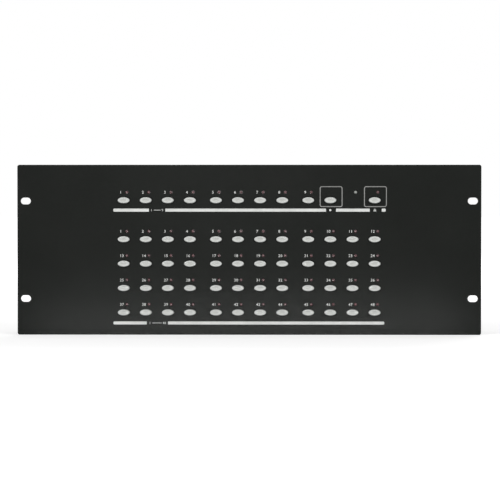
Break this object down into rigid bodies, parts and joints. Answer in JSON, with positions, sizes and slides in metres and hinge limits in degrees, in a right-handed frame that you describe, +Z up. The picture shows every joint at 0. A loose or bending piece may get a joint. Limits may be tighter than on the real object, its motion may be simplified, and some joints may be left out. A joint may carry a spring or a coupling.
{
  "type": "rack control panel",
  "caption": "Rack-mounted lighting control panel: a black front plate with rows of oval keys and lamps, a shallow steel case, and mains and data sockets behind.",
  "frame": {"origin": "centre of the bounding box at its base: on the lower edge's level, half way across the width and half way from the key tops to the raised end of the power switch", "axes": "+X to the right seen from the front, along the width; +Y backwards from the front plate into the case; +Z up"},
  "size_m": [0.4826, 0.0848, 0.177],
  "materials": {
    "panel_black": "satin black paint with white print",
    "case_black": "fine textured black powder coat",
    "key_plastic": "satin light grey",
    "board_and_scene_keys": "solder mask, with light grey key caps and red lamps fused to it",
    "board": "solder mask and components",
    "inlet_plastic": "moulded black",
    "rocker_plastic": "smooth black",
    "socket_metal": "dark nickel"
  },
  "bodies": {
    "housing": {"front_panel": "panel_black", "case_body": "case_black", "top_cover": "case_black", "key_board": "board_and_scene_keys", "control_board": "board", "power_supply": "board", "mains_inlet": "inlet_plastic", "dmx_in_socket": "socket_metal", "dmx_out_socket": "socket_metal"},
    "power_rocker": {"power_rocker": "rocker_plastic"},
    "key_01": {"key_01": "key_plastic"},
    "key_02": {"key_02": "key_plastic"},
    "key_03": {"key_03": "key_plastic"},
    "key_04": {"key_04": "key_plastic"},
    "key_05": {"key_05": "key_plastic"},
    "key_06": {"key_06": "key_plastic"},
    "key_07": {"key_07": "key_plastic"},
    "key_08": {"key_08": "key_plastic"},
    "key_09": {"key_09": "key_plastic"},
    "key_10": {"key_10": "key_plastic"},
    "key_11": {"key_11": "key_plastic"},
    "key_12": {"key_12": "key_plastic"},
    "key_13": {"key_13": "key_plastic"},
    "key_14": {"key_14": "key_plastic"},
    "key_15": {"key_15": "key_plastic"},
    "key_16": {"key_16": "key_plastic"},
    "key_17": {"key_17": "key_plastic"},
    "key_18": {"key_18": "key_plastic"},
    "key_19": {"key_19": "key_plastic"},
    "key_20": {"key_20": "key_plastic"},
    "key_21": {"key_21": "key_plastic"},
    "key_22": {"key_22": "key_plastic"},
    "key_23": {"key_23": "key_plastic"},
    "key_24": {"key_24": "key_plastic"},
    "key_25": {"key_25": "key_plastic"},
    "key_26": {"key_26": "key_plastic"},
    "key_27": {"key_27": "key_plastic"},
    "key_28": {"key_28": "key_plastic"},
    "key_29": {"key_29": "key_plastic"},
    "key_30": {"key_30": "key_plastic"},
    "key_31": {"key_31": "key_plastic"},
    "key_32": {"key_32": "key_plastic"},
    "key_33": {"key_33": "key_plastic"},
    "key_34": {"key_34": "key_plastic"},
    "key_35": {"key_35": "key_plastic"},
    "key_36": {"key_36": "key_plastic"},
    "key_37": {"key_37": "key_plastic"},
    "key_38": {"key_38": "key_plastic"},
    "key_39": {"key_39": "key_plastic"},
    "key_40": {"key_40": "key_plastic"},
    "key_41": {"key_41": "key_plastic"},
    "key_42": {"key_42": "key_plastic"},
    "key_43": {"key_43": "key_plastic"},
    "key_44": {"key_44": "key_plastic"},
    "key_45": {"key_45": "key_plastic"},
    "key_46": {"key_46": "key_plastic"},
    "key_47": {"key_47": "key_plastic"},
    "key_48": {"key_48": "key_plastic"},
    "record_key": {"record_key": "key_plastic"},
    "lock_key": {"lock_key": "key_plastic"}
  },
  "joints": [
    {"name": "power_rocker_hinge", "type": "hinge", "parent": "housing", "child": "power_rocker", "pos_m": [0.165, 0.03753, 0.0755], "axis": [1, 0, 0], "range_deg": [0, 24]},
    {"name": "record_key_press", "type": "slide", "parent": "housing", "child": "record_key", "axis": [0, 1, 0], "range_m": [0, 0.0003], "stiffness_N_per_m": 5000},
    {"name": "lock_key_press", "type": "slide", "parent": "housing", "child": "lock_key", "axis": [0, 1, 0], "range_m": [0, 0.0003], "stiffness_N_per_m": 5000},
    {"name": "key_01_press", "type": "slide", "parent": "housing", "child": "key_01", "axis": [0, 1, 0], "range_m": [0, 0.0003], "stiffness_N_per_m": 5000},
    {"name": "key_02_press", "type": "slide", "parent": "housing", "child": "key_02", "axis": [0, 1, 0], "range_m": [0, 0.0003], "stiffness_N_per_m": 5000},
    {"name": "key_03_press", "type": "slide", "parent": "housing", "child": "key_03", "axis": [0, 1, 0], "range_m": [0, 0.0003], "stiffness_N_per_m": 5000},
    {"name": "key_04_press", "type": "slide", "parent": "housing", "child": "key_04", "axis": [0, 1, 0], "range_m": [0, 0.0003], "stiffness_N_per_m": 5000},
    {"name": "key_05_press", "type": "slide", "parent": "housing", "child": "key_05", "axis": [0, 1, 0], "range_m": [0, 0.0003], "stiffness_N_per_m": 5000},
    {"name": "key_06_press", "type": "slide", "parent": "housing", "child": "key_06", "axis": [0, 1, 0], "range_m": [0, 0.0003], "stiffness_N_per_m": 5000},
    {"name": "key_07_press", "type": "slide", "parent": "housing", "child": "key_07", "axis": [0, 1, 0], "range_m": [0, 0.0003], "stiffness_N_per_m": 5000},
    {"name": "key_08_press", "type": "slide", "parent": "housing", "child": "key_08", "axis": [0, 1, 0], "range_m": [0, 0.0003], "stiffness_N_per_m": 5000},
    {"name": "key_09_press", "type": "slide", "parent": "housing", "child": "key_09", "axis": [0, 1, 0], "range_m": [0, 0.0003], "stiffness_N_per_m": 5000},
    {"name": "key_10_press", "type": "slide", "parent": "housing", "child": "key_10", "axis": [0, 1, 0], "range_m": [0, 0.0003], "stiffness_N_per_m": 5000},
    {"name": "key_11_press", "type": "slide", "parent": "housing", "child": "key_11", "axis": [0, 1, 0], "range_m": [0, 0.0003], "stiffness_N_per_m": 5000},
    {"name": "key_12_press", "type": "slide", "parent": "housing", "child": "key_12", "axis": [0, 1, 0], "range_m": [0, 0.0003], "stiffness_N_per_m": 5000},
    {"name": "key_13_press", "type": "slide", "parent": "housing", "child": "key_13", "axis": [0, 1, 0], "range_m": [0, 0.0003], "stiffness_N_per_m": 5000},
    {"name": "key_14_press", "type": "slide", "parent": "housing", "child": "key_14", "axis": [0, 1, 0], "range_m": [0, 0.0003], "stiffness_N_per_m": 5000},
    {"name": "key_15_press", "type": "slide", "parent": "housing", "child": "key_15", "axis": [0, 1, 0], "range_m": [0, 0.0003], "stiffness_N_per_m": 5000},
    {"name": "key_16_press", "type": "slide", "parent": "housing", "child": "key_16", "axis": [0, 1, 0], "range_m": [0, 0.0003], "stiffness_N_per_m": 5000},
    {"name": "key_17_press", "type": "slide", "parent": "housing", "child": "key_17", "axis": [0, 1, 0], "range_m": [0, 0.0003], "stiffness_N_per_m": 5000},
    {"name": "key_18_press", "type": "slide", "parent": "housing", "child": "key_18", "axis": [0, 1, 0], "range_m": [0, 0.0003], "stiffness_N_per_m": 5000},
    {"name": "key_19_press", "type": "slide", "parent": "housing", "child": "key_19", "axis": [0, 1, 0], "range_m": [0, 0.0003], "stiffness_N_per_m": 5000},
    {"name": "key_20_press", "type": "slide", "parent": "housing", "child": "key_20", "axis": [0, 1, 0], "range_m": [0, 0.0003], "stiffness_N_per_m": 5000},
    {"name": "key_21_press", "type": "slide", "parent": "housing", "child": "key_21", "axis": [0, 1, 0], "range_m": [0, 0.0003], "stiffness_N_per_m": 5000},
    {"name": "key_22_press", "type": "slide", "parent": "housing", "child": "key_22", "axis": [0, 1, 0], "range_m": [0, 0.0003], "stiffness_N_per_m": 5000},
    {"name": "key_23_press", "type": "slide", "parent": "housing", "child": "key_23", "axis": [0, 1, 0], "range_m": [0, 0.0003], "stiffness_N_per_m": 5000},
    {"name": "key_24_press", "type": "slide", "parent": "housing", "child": "key_24", "axis": [0, 1, 0], "range_m": [0, 0.0003], "stiffness_N_per_m": 5000},
    {"name": "key_25_press", "type": "slide", "parent": "housing", "child": "key_25", "axis": [0, 1, 0], "range_m": [0, 0.0003], "stiffness_N_per_m": 5000},
    {"name": "key_26_press", "type": "slide", "parent": "housing", "child": "key_26", "axis": [0, 1, 0], "range_m": [0, 0.0003], "stiffness_N_per_m": 5000},
    {"name": "key_27_press", "type": "slide", "parent": "housing", "child": "key_27", "axis": [0, 1, 0], "range_m": [0, 0.0003], "stiffness_N_per_m": 5000},
    {"name": "key_28_press", "type": "slide", "parent": "housing", "child": "key_28", "axis": [0, 1, 0], "range_m": [0, 0.0003], "stiffness_N_per_m": 5000},
    {"name": "key_29_press", "type": "slide", "parent": "housing", "child": "key_29", "axis": [0, 1, 0], "range_m": [0, 0.0003], "stiffness_N_per_m": 5000},
    {"name": "key_30_press", "type": "slide", "parent": "housing", "child": "key_30", "axis": [0, 1, 0], "range_m": [0, 0.0003], "stiffness_N_per_m": 5000},
    {"name": "key_31_press", "type": "slide", "parent": "housing", "child": "key_31", "axis": [0, 1, 0], "range_m": [0, 0.0003], "stiffness_N_per_m": 5000},
    {"name": "key_32_press", "type": "slide", "parent": "housing", "child": "key_32", "axis": [0, 1, 0], "range_m": [0, 0.0003], "stiffness_N_per_m": 5000},
    {"name": "key_33_press", "type": "slide", "parent": "housing", "child": "key_33", "axis": [0, 1, 0], "range_m": [0, 0.0003], "stiffness_N_per_m": 5000},
    {"name": "key_34_press", "type": "slide", "parent": "housing", "child": "key_34", "axis": [0, 1, 0], "range_m": [0, 0.0003], "stiffness_N_per_m": 5000},
    {"name": "key_35_press", "type": "slide", "parent": "housing", "child": "key_35", "axis": [0, 1, 0], "range_m": [0, 0.0003], "stiffness_N_per_m": 5000},
    {"name": "key_36_press", "type": "slide", "parent": "housing", "child": "key_36", "axis": [0, 1, 0], "range_m": [0, 0.0003], "stiffness_N_per_m": 5000},
    {"name": "key_37_press", "type": "slide", "parent": "housing", "child": "key_37", "axis": [0, 1, 0], "range_m": [0, 0.0003], "stiffness_N_per_m": 5000},
    {"name": "key_38_press", "type": "slide", "parent": "housing", "child": "key_38", "axis": [0, 1, 0], "range_m": [0, 0.0003], "stiffness_N_per_m": 5000},
    {"name": "key_39_press", "type": "slide", "parent": "housing", "child": "key_39", "axis": [0, 1, 0], "range_m": [0, 0.0003], "stiffness_N_per_m": 5000},
    {"name": "key_40_press", "type": "slide", "parent": "housing", "child": "key_40", "axis": [0, 1, 0], "range_m": [0, 0.0003], "stiffness_N_per_m": 5000},
    {"name": "key_41_press", "type": "slide", "parent": "housing", "child": "key_41", "axis": [0, 1, 0], "range_m": [0, 0.0003], "stiffness_N_per_m": 5000},
    {"name": "key_42_press", "type": "slide", "parent": "housing", "child": "key_42", "axis": [0, 1, 0], "range_m": [0, 0.0003], "stiffness_N_per_m": 5000},
    {"name": "key_43_press", "type": "slide", "parent": "housing", "child": "key_43", "axis": [0, 1, 0], "range_m": [0, 0.0003], "stiffness_N_per_m": 5000},
    {"name": "key_44_press", "type": "slide", "parent": "housing", "child": "key_44", "axis": [0, 1, 0], "range_m": [0, 0.0003], "stiffness_N_per_m": 5000},
    {"name": "key_45_press", "type": "slide", "parent": "housing", "child": "key_45", "axis": [0, 1, 0], "range_m": [0, 0.0003], "stiffness_N_per_m": 5000},
    {"name": "key_46_press", "type": "slide", "parent": "housing", "child": "key_46", "axis": [0, 1, 0], "range_m": [0, 0.0003], "stiffness_N_per_m": 5000},
    {"name": "key_47_press", "type": "slide", "parent": "housing", "child": "key_47", "axis": [0, 1, 0], "range_m": [0, 0.0003], "stiffness_N_per_m": 5000},
    {"name": "key_48_press", "type": "slide", "parent": "housing", "child": "key_48", "axis": [0, 1, 0], "range_m": [0, 0.0003], "stiffness_N_per_m": 5000}
  ]
}
